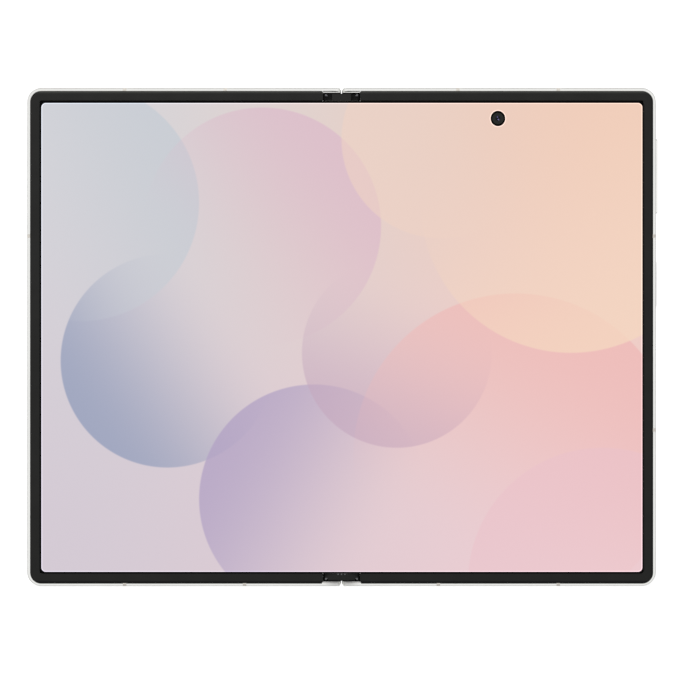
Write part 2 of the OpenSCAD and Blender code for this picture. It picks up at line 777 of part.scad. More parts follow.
module lens_rings() color(silver) at_lenses() translate([0, 0, -camera_h]) rotate_extrude() {
  edge = 0.15;
  inner = lens_r + fit;
  translate([inner, edge]) square([ring_r - inner, ring_h - edge]);
  translate([inner + edge, 0]) square([ring_r - inner - 2 * edge, ring_h]);
  for (r = [inner + edge, ring_r - edge]) translate([r, edge]) circle(edge);
}

module lens_glass() color(black_glass) at_lenses()
  translate([0, 0, -camera_h + 0.15]) cylinder(r = lens_r, h = 0.4);

module rear_cameras() color(dark) at_lenses() {
  translate([0, 0, -camera_h + 0.6]) difference() {
    cylinder(r = 4.4, h = camera_h + 1);
    translate([0, 0, -over]) cylinder(r1 = 3.9, r2 = 2, h = over + 1.2);
  }
  translate([0, 0, glass_t + 0.4]) linear_extrude(web_z - glass_t - 0.5) square(9.4, center = true);
}

module flash_window() color(warm_white)
  translate([flash_x, flash_y, 0]) cylinder(r = flash_r, h = glass_t + 0.3);

// --- Inside the main half ------------------------------------------------------------------

cell_z = web_z - 0.1 - cell_t;
cell_end = bay_end - key_bay;

module cell(x0, y0, x1, y1) color(cell_grey) {
  translate([0, (y0 + y1) / 2, cell_z]) linear_extrude(cell_t) tile(x0, x1, (y1 - y0) / 2, 1.2, 1.2);
  tab_w = (x1 - x0) / 2.5;
  slab((x0 + x1 - tab_w) / 2, y1 - join, cell_z + 0.6,
    (x0 + x1 + tab_w) / 2, y1 + bay_gap / 2, cell_z + cell_t - 0.6);
}

module main_battery() cell(bay_start + bay_gap, lower_rib + bay_gap, cell_end, upper_rib - 2 * bay_gap);

coil_x = (bay_start + cell_end) / 2;
coil_y = (upper_rib + lower_rib) / 2;
coil_r = 0.35 * (upper_rib - lower_rib);
coil_turns = 8;
coil_pitch = coil_r / 2 / coil_turns;
module charging_coil() color(copper) translate([coil_x, coil_y, glass_t + 0.02])
  linear_extrude(cell_z - glass_t - 0.06) for (i = [0:coil_turns - 1]) difference() {
    circle(coil_r - i * coil_pitch);
    circle(coil_r - (i + 0.8) * coil_pitch);
  }

board_z = web_z - 0.1 - board_t;
board_end = plinth_x - camera_hole_r - 1;
module main_board() color(board_green) translate([0, 0, board_z]) linear_extrude(board_t) difference() {
  translate([0, (upper_rib + rib + bay_y) / 2])
    tile(bay_start + bay_gap, board_end, (bay_y - upper_rib - rib) / 2 - bay_gap, 0.8, 0.8);
  translate([eye_x, eye_y]) circle(3.4);
}

module board_shields() color(steel) {
  can_z = board_z - can_h;
  slab(bay_start + 2, upper_rib + 3, can_z, bay_start + 18, bay_y - 8, board_z);
  slab(bay_start + 20, upper_rib + 3, can_z, board_end - 2, upper_rib + 18, board_z);
}

module inner_camera() color(dark) translate([eye_x, eye_y, 0]) {
  difference() {
    translate([0, 0, web_z - 1]) cylinder(r = eye_r - 0.06, h = display_z - 0.06 - web_z + 1);
    translate([0, 0, display_z - 0.4]) cylinder(r = 0.62, h = over);
  }
  translate([0, 0, display_z - 0.5]) cylinder(r = 0.6, h = 0.3);
  translate([0, 0, board_z - 0.6]) linear_extrude(web_z - board_z) square(4.6, center = true);
}

// Plug socket: a shell open to the bottom edge, with a tongue in its middle
module usb_socket() color(steel)
  translate([socket_x, -body_h / 2 + socket_lip, socket_z]) rotate([-90, 0, 0]) {
    difference() {
      linear_extrude(socket_d + socket_wall) slot(socket_w + 2 * socket_wall, socket_h + 2 * socket_wall);
      translate([0, 0, -over]) linear_extrude(over + socket_d) slot(socket_w, socket_h);
    }
    translate([-tongue_w / 2, -tongue_t / 2, socket_d - tongue_l])
      cube([tongue_w, tongue_t, tongue_l + join]);
  }

speaker_start = lower_sound_x - 1.2;
module lower_board() color(board_green) translate([0, 0, board_z]) linear_extrude(board_t) difference() {
  translate([0, (lower_rib - rib - bay_y) / 2])
    tile(bay_start + 11, speaker_start - 0.5, (bay_y + lower_rib - rib) / 2 - bay_gap, 0.8, 0.8);
  translate([socket_x, -body_h / 2]) square([socket_w + 2, 2 * (socket_d + 2.4)], center = true);
}

// Speaker box behind a row of sound holes
module speaker_box(x0, y0, x1, y1) color(dark) {
  translate([0, (y0 + y1) / 2, glass_t + 0.3])
    linear_extrude(web_z - glass_t - 0.5) tile(x0, x1, (y1 - y0) / 2, 1, 1);
}

module lower_speaker() speaker_box(speaker_start, -bay_y + 0.3, cell_end, lower_rib - rib - bay_gap);
module upper_speaker() speaker_box(board_end + 0.5, bay_y - 3.4, cell_end - 1, bay_y - 0.3);

module vibration_motor() color(steel) translate([bay_start + 5.4, lower_rib - rib - 6, glass_t + 0.3])
  cylinder(r = 4.5, h = web_z - glass_t - 0.5);

// Switch strip behind the keys, with a dome under each pressing point
module key_flex() color(amber) {
  x = key_flange_x - 0.7;
  slab(x - 0.2, power_y - power_l / 2, mid_z - 1, x, volume_y + volume_l / 2, mid_z + 1);
  for (y = [power_y, volume_y - volume_l / 3, volume_y + volume_l / 3])
    translate([x - join, y, mid_z]) rotate([0, 90, 0]) cylinder(r1 = 0.9, r2 = 0.6, h = 0.3);
}

// Magnets that hold the closed phone shut, in the display's floor beside the outer wall
magnet_l = bay_y / 5;
magnet_w = 1.8;
magnet_t = 0.8;
magnet_starts = [lower_rib - rib - bay_gap - magnet_l, key_bay_low - magnet_l - 1];
module magnets() color(steel) for (y = magnet_starts)
  slab(bay_end - 0.1 - magnet_w, y, web_z - magnet_t, bay_end - 0.1, y + magnet_l, web_z);

// --- Keys ----------------------------------------------------------------------------------

// Key that stands out of the side wall by out, held by a flange inside
module key(y, l, out, lid = 0) translate([0, y, mid_z]) {
  translate([key_flange_x + key_flange_t - join, 0, 0]) rotate([90, 0, 90])
    linear_extrude(half_w + out - lid - 0.15 - key_flange_x - key_flange_t + join) slot(l, key_w);
  translate([half_w + out - lid - 0.15 - join, 0, 0]) rotate([90, 0, 90])
    linear_extrude(0.15 + join) slot(l - 0.3, key_w - 0.3);
  translate([key_flange_x, 0, 0]) rotate([90, 0, 90])
    linear_extrude(key_flange_t) slot(l + 1.6, key_flange_h);
}

module volume_rocker() color(silver) key(volume_y, volume_l, volume_out);
module power_key() color(silver) key(power_y, power_l, power_out, 0.1);
module fingerprint_sensor() color(silver) translate([half_w + power_out - 0.1, power_y, mid_z])
  rotate([90, 0, 90]) linear_extrude(0.1) slot(power_l - 1.4, key_w - 0.6);

// --- Cover half ----------------------------------------------------------------------------

cover_eye_x = half_w / 2 + 2;
cover_eye_r = 1.7;
cover_eye_box = 5;
cover_stack = 0.75;
earpiece_l = 9;
earpiece_y = bay_y - 0.5;

module cover_glass() color(black_glass) linear_extrude(glass_t) difference() {
  glass_outline();
  translate([cover_eye_x, earpiece_y]) slot(earpiece_l, 0.6);
}

module cover_screen() color(dark) translate([0, 0, glass_t + 0.02]) linear_extrude(0.5) difference() {
  tile(bay_start + 1.1, cell_end, bay_y - 1.2, 2, 2);
  translate([cover_eye_x, eye_y]) circle(cover_eye_r);
}

module cover_camera() color(dark) translate([cover_eye_x, eye_y, 0]) {
  translate([0, 0, glass_t + 0.05]) cylinder(r = cover_eye_r - 0.1, h = 1.5);
  translate([0, 0, glass_t + 1.2]) linear_extrude(web_z - glass_t - 1.4)
    square(cover_eye_box, center = true);
}

module earpiece() color(dark) translate([cover_eye_x, earpiece_y, glass_t + 0.02])
  linear_extrude(2) square([earpiece_l + 1, 0.9], center = true);

module cover_battery() color(cell_grey)
  translate([0, (upper_rib + lower_rib) / 2, glass_t + cover_stack])
    linear_extrude(web_z - 0.1 - glass_t - cover_stack)
      tile(bay_start + bay_gap, cell_end, (upper_rib - lower_rib) / 2 - bay_gap, 1.2, 1.2);

module cover_board() color(board_green) translate([0, 0, board_z]) linear_extrude(board_t) difference() {
  translate([0, (upper_rib + rib + bay_y) / 2])
    tile(bay_start + bay_gap, cell_end, (bay_y - upper_rib - rib) / 2 - 1.5, 0.8, 0.8);
  translate([cover_eye_x, eye_y]) square(cover_eye_box + 0.4, center = true);
}

// Slot for the card tray: wide for the door, narrower behind it
module tray_slot() {
  translate([tray_x, -body_h / 2 - over, mid_z]) rotate([-90, 0, 0])
    linear_extrude(over + tray_door_t + fit) slot(tray_w + 4 * fit, tray_door_h + 4 * fit);
  slab(tray_x - tray_body_w / 2 - 0.15, -body_h / 2, mid_z - tray_body_t / 2 - 0.1,
    tray_x + tray_body_w / 2 + 0.15, -bay_y + over, mid_z + tray_body_t / 2 + 0.1);
}

module card_reader() color(steel) difference() {
  slab(tray_x - tray_body_w / 2 - 1, -bay_y + 0.3, mid_z - tray_body_t / 2 - 0.5,
    tray_x + tray_body_w / 2 + 1, -bay_y + 0.3 + tray_l, mid_z + tray_body_t / 2 + 0.4);
  slab(tray_x - tray_body_w / 2 - 0.15, -bay_y - over, mid_z - tray_body_t / 2 - 0.15,
    tray_x + tray_body_w / 2 + 0.15, -bay_y + tray_l, mid_z + tray_body_t / 2 + 0.15);
}

// Tray with a door flush with the rim, a hole for the ejector pin and a seat for one card
module card_tray() color(silver) {
  difference() {
    intersection() {
      translate([tray_x, -body_h / 2, mid_z]) rotate([-90, 0, 0])
        linear_extrude(tray_door_t) slot(tray_w, tray_door_h);
      half_form();
    }
    translate([tray_x + tray_w / 2 - 1.6, -body_h / 2, mid_z]) rotate([90, 0, 0])
      cylinder(r = 0.4, h = 4 * tray_door_t, center = true);
  }
  difference() {
    slab(tray_x - tray_body_w / 2, -body_h / 2 + tray_door_t - join, mid_z - tray_body_t / 2,
      tray_x + tray_body_w / 2, -body_h / 2 + tray_l, mid_z + tray_body_t / 2);
    slab(tray_x - card_w / 2, -body_h / 2 + tray_door_t + 0.9, mid_z - tray_body_t / 2 + 0.5,
      tray_x + card_w / 2, -body_h / 2 + tray_door_t + 0.9 + card_l, half_t);
  }
}

// --- Output --------------------------------------------------------------------------------

main_side() main_frame();
main_side() main_antenna_breaks();
main_side() rear_glass();
main_side() glass_seal();  // rear_glass_seal
main_side() camera_plinth();
main_side() lens_rings();
main_side() lens_glass();
main_side() rear_cameras();
main_side() flash_window();
main_side() main_battery();
main_side() charging_coil();
main_side() main_board();
main_side() board_shields();
main_side() inner_camera();
main_side() usb_socket();
main_side() lower_board();
main_side() lower_speaker();
main_side() upper_speaker();
main_side() vibration_motor();
main_side() key_flex();
main_side() display_plate(true);  // main_display_plate
main_side() display_panel(true);  // main_display_panel
main_side() bezel();  // main_bezel
main_side() hinge_brackets();  // main_hinge_brackets
main_side() main_gear_shafts();
main_side() bracket_screws();  // main_bracket_screws
main_side() magnets();  // main_magnets
main_side() volume_rocker();
main_side() power_key();
main_side() fingerprint_sensor();
main_side() spine_cover();
main_side() spine_end_caps();
main_side() end_cap_clips();
main_side() hinge_blocks();
main_side() hinge_block_screws();
main_side() fold_strip();
main_side() fold_lattice();
main_side() hinge_flex();
main_side() main_idler_gears();
main_side() cover_idler_gears();
cover_side() cover_frame();
cover_side() cover_antenna_breaks();
cover_side() cover_glass();
cover_side() glass_seal();  // cover_glass_seal
cover_side() cover_screen();
cover_side() cover_camera();
cover_side() earpiece();
cover_side() cover_battery();
cover_side() cover_board();
cover_side() card_reader();
cover_side() display_plate(false);  // cover_display_plate
cover_side() display_panel(false);  // cover_display_panel
cover_side() bezel();  // cover_bezel
cover_side() hinge_brackets();  // cover_hinge_brackets
main_side() cover_gear_shafts();
cover_side() bracket_screws();  // cover_bracket_screws
cover_side() magnets();  // cover_magnets
cover_side() card_tray();
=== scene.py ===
"""A foldable phone, open and lying on its back, seen from straight above on a white ground."""

import json
import math

import bmesh
import bpy
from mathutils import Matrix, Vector

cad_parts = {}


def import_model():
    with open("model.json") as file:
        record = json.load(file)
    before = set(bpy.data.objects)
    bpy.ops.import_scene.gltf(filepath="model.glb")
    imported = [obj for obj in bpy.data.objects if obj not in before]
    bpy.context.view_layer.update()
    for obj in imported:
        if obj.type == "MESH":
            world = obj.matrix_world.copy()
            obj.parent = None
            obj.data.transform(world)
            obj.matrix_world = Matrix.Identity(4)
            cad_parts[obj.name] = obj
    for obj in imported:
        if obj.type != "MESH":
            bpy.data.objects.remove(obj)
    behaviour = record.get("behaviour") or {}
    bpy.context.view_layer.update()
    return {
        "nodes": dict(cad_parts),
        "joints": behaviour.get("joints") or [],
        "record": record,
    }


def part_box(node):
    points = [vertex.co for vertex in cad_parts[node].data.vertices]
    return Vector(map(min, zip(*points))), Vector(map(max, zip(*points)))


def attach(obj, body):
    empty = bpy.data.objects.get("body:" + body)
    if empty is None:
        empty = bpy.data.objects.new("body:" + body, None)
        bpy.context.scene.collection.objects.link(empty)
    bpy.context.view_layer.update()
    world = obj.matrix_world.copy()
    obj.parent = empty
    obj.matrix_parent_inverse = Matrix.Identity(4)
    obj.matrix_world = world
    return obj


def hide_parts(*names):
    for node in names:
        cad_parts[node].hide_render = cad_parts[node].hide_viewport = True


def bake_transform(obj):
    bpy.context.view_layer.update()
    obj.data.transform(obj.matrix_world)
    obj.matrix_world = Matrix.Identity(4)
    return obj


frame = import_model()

NODES = frame["nodes"]
MM = 0.001


def low(node):
    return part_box(node)[0]


def high(node):
    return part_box(node)[1]


def middle(node):
    return (low(node) + high(node)) / 2


# ------------------------------------------------------------------ Sizes, in metres

# The photograph is square, and the phone's middle lies a little above and left of the photograph's
PIXEL = 0.2527 * MM
PHOTO_PIXELS = 684
PHONE_CENTRE_PX = (341.5, 337.0)

# Focal length and sensor width, in millimetres
LENS_MM = 200
SENSOR_MM = 36

# Far corner of the flexible panel, of the bezel and of the rim, from the phone's middle
PANEL = high("main_display_panel")
BEZEL = high("main_bezel")
RIM = high("main_frame")

# Lit part of the panel, and the brighter line along its edge
LIT_CENTRE = (0.09 * MM, -0.1 * MM)
LIT_HALF_X = PANEL.x - 1.2 * MM
LIT_HALF_Y = PANEL.y - 1.4 * MM
LIT_CORNER = 1.1 * MM
EDGE_W = 0.2 * MM

# Unlit hole of a display over its camera, which is a little taller than wide
EYE_R = 1.86 * MM
EYE_SQUEEZE = 0.95

# Reach of the black inner edge of the bezel beyond the lit part, across and along the phone
BEZEL_LINE = (0.46 * MM, 0.5 * MM)

# Bands of painted light and shade along the bezel's outer edge, each fading in from BAND_INSET inside that
# edge: painted light beside the upper rim, painted shade beside the lower rim, and fainter painted shade
# beside the right rim
BAND_INSET = 0.67 * MM
UPPER_BAND = (BEZEL.y - BAND_INSET, BEZEL.y - BAND_INSET + 0.6 * MM)
LOWER_BAND = (BEZEL.y - BAND_INSET, BEZEL.y - BAND_INSET + 0.25 * MM)
RIGHT_BAND = (BEZEL.x - BAND_INSET, BEZEL.x - BAND_INSET + 0.3 * MM)
RIGHT_SHADE = 0.6

# Painted shadow of the bezel on the rim, a dark band along the bezel's outer edge: its width on each side,
# where it starts beside the fold and how far below the rim, and its shade
BEZEL_SHADOW_UPPER = BEZEL_SHADOW_LEFT = 0.01 * MM
BEZEL_SHADOW_LOWER = 0.17 * MM
BEZEL_SHADOW_RIGHT = 0.09 * MM
BEZEL_SHADOW_CENTRE = ((BEZEL_SHADOW_RIGHT - BEZEL_SHADOW_LEFT) / 2, (BEZEL_SHADOW_UPPER - BEZEL_SHADOW_LOWER) / 2)
BEZEL_SHADOW_HALF = (BEZEL.x + (BEZEL_SHADOW_RIGHT + BEZEL_SHADOW_LEFT) / 2, BEZEL.y + (BEZEL_SHADOW_UPPER + BEZEL_SHADOW_LOWER) / 2)
BEZEL_SHADOW_CORNER = 2.8 * MM
BEZEL_SHADOW_START = 4.95 * MM
BEZEL_SHADOW_Z = RIM.z - 0.45 * MM
BEZEL_SHADOW_STRENGTH = 0.95

# Fold axis of the main half, and the frames' channel, which clears the spine by CHANNEL_GAP
AXIS = Vector(next(joint["pos_m"] for joint in frame["joints"] if joint["name"] == "main_fold"))
CHANNEL_GAP = 0.15 * MM
CHANNEL_R = AXIS.z - low("spine_cover").z + CHANNEL_GAP
CHANNEL_END = high("spine_cover").y + CHANNEL_GAP

# Past this the end of each end cap of the spine is painted black, as shade of the slit between it and the
# frames
CAP_END = high("spine_end_caps").y - 0.2 * MM

# Painted shade on the lower end walls, from the channel to the rim: where it fades in and out beside the fold
# line, where it fades in below the rim, and its shade at the channel and at the rim
STEP_IN = (0.45 * MM, 0.8 * MM)
STEP_OUT = (1.2 * MM, 5.4 * MM)
STEP_RISE = (RIM.z - 1.0 * MM, RIM.z - 0.6 * MM)
STEP_SHADE = (0.6, 0.12)

# Half width of the soft edge between two colours, of one round a rectangle, and of one between two faces
SOFT = 0.02 * MM
SOFT_OUTLINE = 0.03 * MM
SOFT_FACE = 0.05 * MM

# Faint crease in the strip along the fold line: its depth, and the distance over which it fades
CREASE_DEPTH = 0.03 * MM
CREASE_REACH = 1.6 * MM

# A UV of 0..1 spans this much of the phone, centred on the fold
REST_SPAN = 200 * MM


# ------------------------------------------------------------------ Nodes and shader maths

class Value:
    """An output of a tree, with Python's operators as Math nodes."""

    def __init__(self, tree, socket):
        self.tree = tree
        self.socket = socket

    def math(self, operation, *others):
        sockets = dict(enumerate((self, *others)))
        return self.tree.out("ShaderNodeMath", {"operation": operation}, sockets)

    def __add__(self, other):
        return self.math("ADD", other)

    def __sub__(self, other):
        return self.math("SUBTRACT", other)

    def __mul__(self, other):
        return self.math("MULTIPLY", other)

    def __truediv__(self, other):
        return self.math("DIVIDE", other)

    def __neg__(self):
        return self * -1

    def __rsub__(self, other):
        return -self + other

    def __abs__(self):
        return self.math("ABSOLUTE")

    __radd__ = __add__
    __rmul__ = __mul__

    def most(self, other):
        """The greater of two values."""
        return self.math("MAXIMUM", other)

    def length(self, other):
        """Distance from 0 of the point (self, other)."""
        return (self * self + other * other).math("SQRT")

    def ease(self, start, end):
        """0 before start and 1 after end, with a smooth rise between."""
        return self.tree.out("ShaderNodeMapRange", {"interpolation_type": "SMOOTHSTEP"},
                             {"Value": self, "From Min": start, "From Max": end})

    def past(self, limit, soft=SOFT):
        """0 short of a limit and 1 past it."""
        return self.ease(limit - soft, limit + soft)

    def span(self, start, end, low_value, high_value):
        """Maps start..end to low_value..high_value, and no further."""
        return self.tree.out("ShaderNodeMapRange", {}, {
            "Value": self, "From Min": start, "From Max": end, "To Min": low_value, "To Max": high_value})

    def vary(self, low_value, high_value):
        """Maps the range that a noise mostly keeps to low_value..high_value."""
        return self.span(0.3, 0.7, low_value, high_value)


class Tree:
    """A node tree, which starts empty."""

    def __init__(self, node_tree):
        self.node_tree = node_tree
        node_tree.nodes.clear()

    def node(self, kind, settings=None, sockets=None):
        """Adds a node of a kind, with its settings and then the numbers or links of its sockets."""
        made = self.node_tree.nodes.new(kind)
        for name, value in (settings or {}).items():
            if name == "stops":
                set_stops(made.color_ramp, value)
            else:
                setattr(made, name, value)
        for key, value in (sockets or {}).items():
            if isinstance(value, Value):
                self.node_tree.links.new(value.socket, made.inputs[key])
            else:
                made.inputs[key].default_value = value
        return made

    def out(self, kind, settings=None, sockets=None, output=0):
        """Adds a node and gives one of its outputs."""
        return Value(self, self.node(kind, settings, sockets).outputs[output])

    def mix(self, factor, a, b):
        """Colour a where factor is 0, and b where it is 1."""
        return self.out("ShaderNodeMix", {"data_type": "RGBA"}, {0: factor, 6: a, 7: b}, 2)

    def ramp(self, factor, stops):
        return self.out("ShaderNodeValToRGB", {"stops": stops}, {"Fac": factor})

    def stretch(self, vector, x, y, z):
        return self.out("ShaderNodeVectorMath", {"operation": "MULTIPLY"}, {0: vector, 1: (x, y, z)})

    def split(self, vector):
        parts = self.node("ShaderNodeSeparateXYZ", {}, {0: vector})
        return [Value(self, output) for output in parts.outputs]

    def noise(self, vector, scale, detail=2.0):
        return self.out("ShaderNodeTexNoise", {}, {"Vector": vector, "Scale": scale, "Detail": detail})

    def bump(self, height, distance):
        return self.out("ShaderNodeBump", {}, {"Height": height, "Distance": distance})


class Finish(Tree):
    """A material with one Principled shader, whose fixed numbers are set on its own sockets."""

    def __init__(self, name, **fixed):
        self.material = bpy.data.materials.new(name)
        self.material.use_nodes = True
        super().__init__(self.material.node_tree)
        numbers = {key.replace("_", " "): value for key, value in fixed.items()}
        self.shader = self.node("ShaderNodeBsdfPrincipled", {}, numbers)
        self.node("ShaderNodeOutputMaterial", {}, {"Surface": Value(self, self.shader.outputs[0])})

    def feed(self, **sockets):
        """Links what changes over the surface to the shader, and gives the material."""
        for key, value in sockets.items():
            self.node_tree.links.new(value.socket, self.shader.inputs[key.replace("_", " ")])
        return self.material

    def place(self):
        """Object coordinates, which are the phone's own frame."""
        return self.out("ShaderNodeTexCoord", {}, {}, "Object")

    def rest_place(self):
        """The phone's own frame at rest, kept in the UV map of a piece that bends."""
        uv = self.out("ShaderNodeUVMap", {"uv_map": "rest"})
        return self.out("ShaderNodeVectorMath", {"operation": "MULTIPLY_ADD"},
                        {0: uv, 1: (REST_SPAN,) * 3, 2: (-REST_SPAN / 2,) * 3})


def set_stops(ramp, stops):
    while len(ramp.elements) < len(stops):
        ramp.elements.new(1)
    for element, (position, colour) in zip(ramp.elements, stops):
        element.position = position
        element.color = colour


def paint(red, green, blue):
    """Linear colour of three sRGB numbers from 0 to 255."""
    linear = [c / 255 / 12.92 if c <= 10 else ((c / 255 + 0.055) / 1.055) ** 2.4 for c in (red, green, blue)]
    return (*linear, 1)


def dim(colour, share):
    """A colour with this share of its light."""
    return [c * share for c in colour[:3]] + [1]


BLACK = paint(2, 2, 2)


# ------------------------------------------------------------------ Picture on the display

# Colours of the picture's left and right edge, each at its lower and its upper corner
LEFT = (paint(212, 202, 212), paint(213, 212, 217))
RIGHT = (paint(237, 205, 209), paint(240, 205, 186))

# Discs of tinted light: centre and radius in mm, colour, strength, and the way in which the tint deepens,
# in degrees from the right
DISCS = [
    ((-44, -6, 27), paint(150, 160, 188), 0.85, 215),
    ((-66, 34, 30), paint(198, 204, 212), 0.8, 20),
    ((-20, 28, 30), paint(219, 186, 202), 0.75, 40),
    ((-7, -41, 29), paint(178, 162, 196), 0.8, 150),
    ((14, -4, 24), paint(196, 168, 190), 0.65, 250),
    ((44, -30, 41), paint(238, 184, 182), 0.75, 60),
    ((58, 34, 38), paint(244, 214, 192), 0.8, 300),
    ((25, 50, 25), paint(238, 210, 196), 0.6, 200),
    ((66, -62, 34), paint(234, 194, 202), 0.6, 120),
]
DISC_SOFT = 0.25 * MM

# A tint sets in at this share of its disc's radius before the centre
TINT_START = 0.75

# How much more red, green and blue the line along the lit edge has than the picture
EDGE_GAIN = (1.5, 1.55, 1.6)


def disc_mask(x, y, circle, angle):
    """Strength of one disc: none outside, and from none to full across it."""
    centre_x, centre_y, radius = [size * MM for size in circle]
    away_x = x - centre_x
    away_y = y - centre_y
    inside = 1 - away_x.length(away_y).past(radius, DISC_SOFT)
    along = away_x * math.cos(math.radians(angle)) + away_y * math.sin(math.radians(angle))
    return inside * along.ease(-TINT_START * radius, radius)


def picture(finish, x, y):
    """Soft overlapping discs over a ground that runs from grey lilac to peach."""
    across = x.ease(-LIT_HALF_X, LIT_HALF_X)
    up = y.ease(-LIT_HALF_Y, LIT_HALF_Y)
    colour = finish.mix(across, finish.mix(up, *LEFT), finish.mix(up, *RIGHT))
    for circle, tint, strength, angle in DISCS:
        colour = finish.mix(disc_mask(x, y, circle, angle) * strength, colour, tint)
    return colour


def in_rectangle(x, y, centre, half, corner):
    """1 inside a rectangle with round corners, and 0 outside it."""
    beyond_x = (abs(x - centre[0]) - (half[0] - corner)).most(0)
    beyond_y = (abs(y - centre[1]) - (half[1] - corner)).most(0)
    return 1 - beyond_x.length(beyond_y).past(corner, SOFT_OUTLINE)


def lit_mask(x, y, margin_x=0.0, margin_y=0.0):
    """1 on the lit part of the display, made wider by the margins, and 0 outside it."""
    return in_rectangle(x, y, LIT_CENTRE, (LIT_HALF_X + margin_x, LIT_HALF_Y + margin_y), LIT_CORNER)


def beyond_eye(x, y, reach):
    """0 up to a reach from the inner camera, and 1 beyond."""
    eye = middle("inner_camera")
    return (x - eye.x).length((y - eye.y) * EYE_SQUEEZE).past(reach)


def lit_edge(x, y):
    """1 on the line along the edge of the lit part and round the camera's hole in it."""
    half = (LIT_HALF_X - EDGE_W, LIT_HALF_Y - EDGE_W)
    inner = in_rectangle(x, y, LIT_CENTRE, half, LIT_CORNER - EDGE_W)
    return (1 - inner).most(1 - beyond_eye(x, y, EYE_R + EDGE_W))


def screen_finish(name, bends):
    """Lit picture with its brighter edge, and black round it."""
    finish = Finish(name, Base_Color=paint(3, 3, 3), Roughness=0.28, Specular_IOR_Level=0.03,
                    Emission_Strength=1.0)
    x, y, _ = finish.split(finish.rest_place() if bends else finish.place())
    shown = picture(finish, x, y)
    shown = finish.mix(lit_edge(x, y), shown, finish.stretch(shown, *EDGE_GAIN))
    lit = lit_mask(x, y) * beyond_eye(x, y, EYE_R)
    return finish.feed(Emission_Color=finish.mix(lit, paint(0, 0, 0), shown))


# ------------------------------------------------------------------ Other finishes

def satin_metal(name, colour, roughness=0.3, black=None):
    """Blasted and anodised aluminium with a fine grain and faint clouds, with painted black shade where
    black(x, y, z) is 1.
    """
    finish = Finish(name, Metallic=1.0)
    place = finish.place()
    clouds = finish.noise(place, scale=60, detail=3)
    speckle = finish.noise(place, scale=9000)
    shade = finish.mix(clouds.vary(0, 1), colour, dim(colour, 0.96))
    if black:
        shade = finish.mix(black(*finish.split(place)), shade, BLACK)
    return finish.feed(Base_Color=shade, Roughness=clouds.vary(roughness - 0.03, roughness + 0.04),
                       Normal=finish.bump(speckle, 0.0012 * MM))


def frame_painted_shade(x, y, z):
    """Painted shade: black in the channel, where its walls lie in shadow, darker lower end walls beside the
    fold, and a painted shadow of the bezel along the rim.
    """
    aside = abs(x)
    from_axis = (aside - AXIS.x).most(0).length(z - AXIS.z)
    channel = (1 - abs(y).past(CHANNEL_END + SOFT)) * (1 - from_axis.past(CHANNEL_R + SOFT))
    beside_fold = aside.ease(*STEP_IN) * (1 - aside.ease(*STEP_OUT))
    wall = (-y).past(CHANNEL_END - SOFT) * z.ease(*STEP_RISE)
    step = wall * beside_fold * (-y).span(CHANNEL_END, RIM.y, *STEP_SHADE)
    bezel_shadow = in_rectangle(x, y, BEZEL_SHADOW_CENTRE, BEZEL_SHADOW_HALF, BEZEL_SHADOW_CORNER) * z.past(BEZEL_SHADOW_Z, SOFT_FACE)
    bezel_shadow *= aside.past(BEZEL_SHADOW_START, SOFT_FACE)
    return channel.most(step).most(bezel_shadow * BEZEL_SHADOW_STRENGTH)


def brushed_metal(name, colour, roughness=0.28):
    """Sheet or turned metal with fine lines along Y."""
    finish = Finish(name, Metallic=1.0)
    lines = finish.noise(finish.stretch(finish.place(), 1, 0.02, 1), scale=12000)
    return finish.feed(Base_Color=finish.mix(lines, colour, dim(colour, 0.85)),
                       Roughness=lines.span(0, 1, roughness - 0.06, roughness + 0.1),
                       Normal=finish.bump(lines, 0.002 * MM))


def moulded(name, colour, roughness, scale=6000, spread=0.12, gloss=0.4, metal=0.0, tints_and_shading=()):
    """Moulded or coated surface with a fine grain, in another tint, or in painted light or shade, where that
    tint's mask of (x, y) is 1.
    """
    finish = Finish(name, Specular_IOR_Level=gloss, Metallic=metal)
    place = finish.place()
    patches = finish.noise(place, scale=150)
    grains = finish.noise(place, scale, detail=3)
    shade = finish.mix(patches.span(0.35, 0.65, 0, 1), colour, dim(colour, 1 - spread))
    if tints_and_shading:
        x, y, _ = finish.split(place)
    for mask, tint in tints_and_shading:
        shade = finish.mix(mask(x, y), shade, tint)
    return finish.feed(Base_Color=shade, Roughness=patches.vary(roughness - 0.05, roughness + 0.05),
                       Normal=finish.bump(grains, 0.002 * MM))


def bezel_line(x, y):
    """Black inner edge of the bezel, next to the lit display."""
    return lit_mask(x, y, *BEZEL_LINE)


def bezel_painted_light(x, y):
    """Painted light on the edge beside the upper rim."""
    return y.span(*UPPER_BAND, 0, 1)


def bezel_painted_shade(x, y):
    """Painted shade on the edge beside the lower and the right rim."""
    return (-y).ease(*LOWER_BAND).most(x.ease(*RIGHT_BAND) * RIGHT_SHADE)


def cap_slit_shade(x, y):
    """Painted shade of the slit between an end cap of the spine and the frames, black on the cap's end."""
    return abs(y).past(CAP_END)


def etched_glass(name, colour):
    """Matt etched glass over a pale backing: very fine sparkle, painted as paler specks in its colour as well
    as bumps, under a soft sheen.
    """
    finish = Finish(name, Coat_Roughness=0.25, Coat_IOR=1.4, Specular_IOR_Level=0.5)
    place = finish.place()
    sparkle = finish.noise(place, scale=14000, detail=1)
    clouds = finish.noise(place, scale=40)
    return finish.feed(Base_Color=finish.mix(sparkle.span(0.45, 0.75, 0, 0.5), colour, paint(250, 250, 250)),
                       Roughness=clouds.vary(0.36, 0.42), Coat_Weight=clouds.vary(0.3, 0.4),
                       Normal=finish.bump(sparkle, 0.0008 * MM))


# Rings of a camera behind glass, from its centre to the edge of its hole, with a painted violet glint at the
# centre
CAMERA_RINGS = [(0.0, paint(40, 36, 66)), (0.22, paint(16, 18, 30)), (0.4, paint(3, 3, 3)),
                (0.55, paint(40, 40, 41)), (0.8, paint(48, 48, 49)), (0.86, BLACK), (1.0, BLACK)]


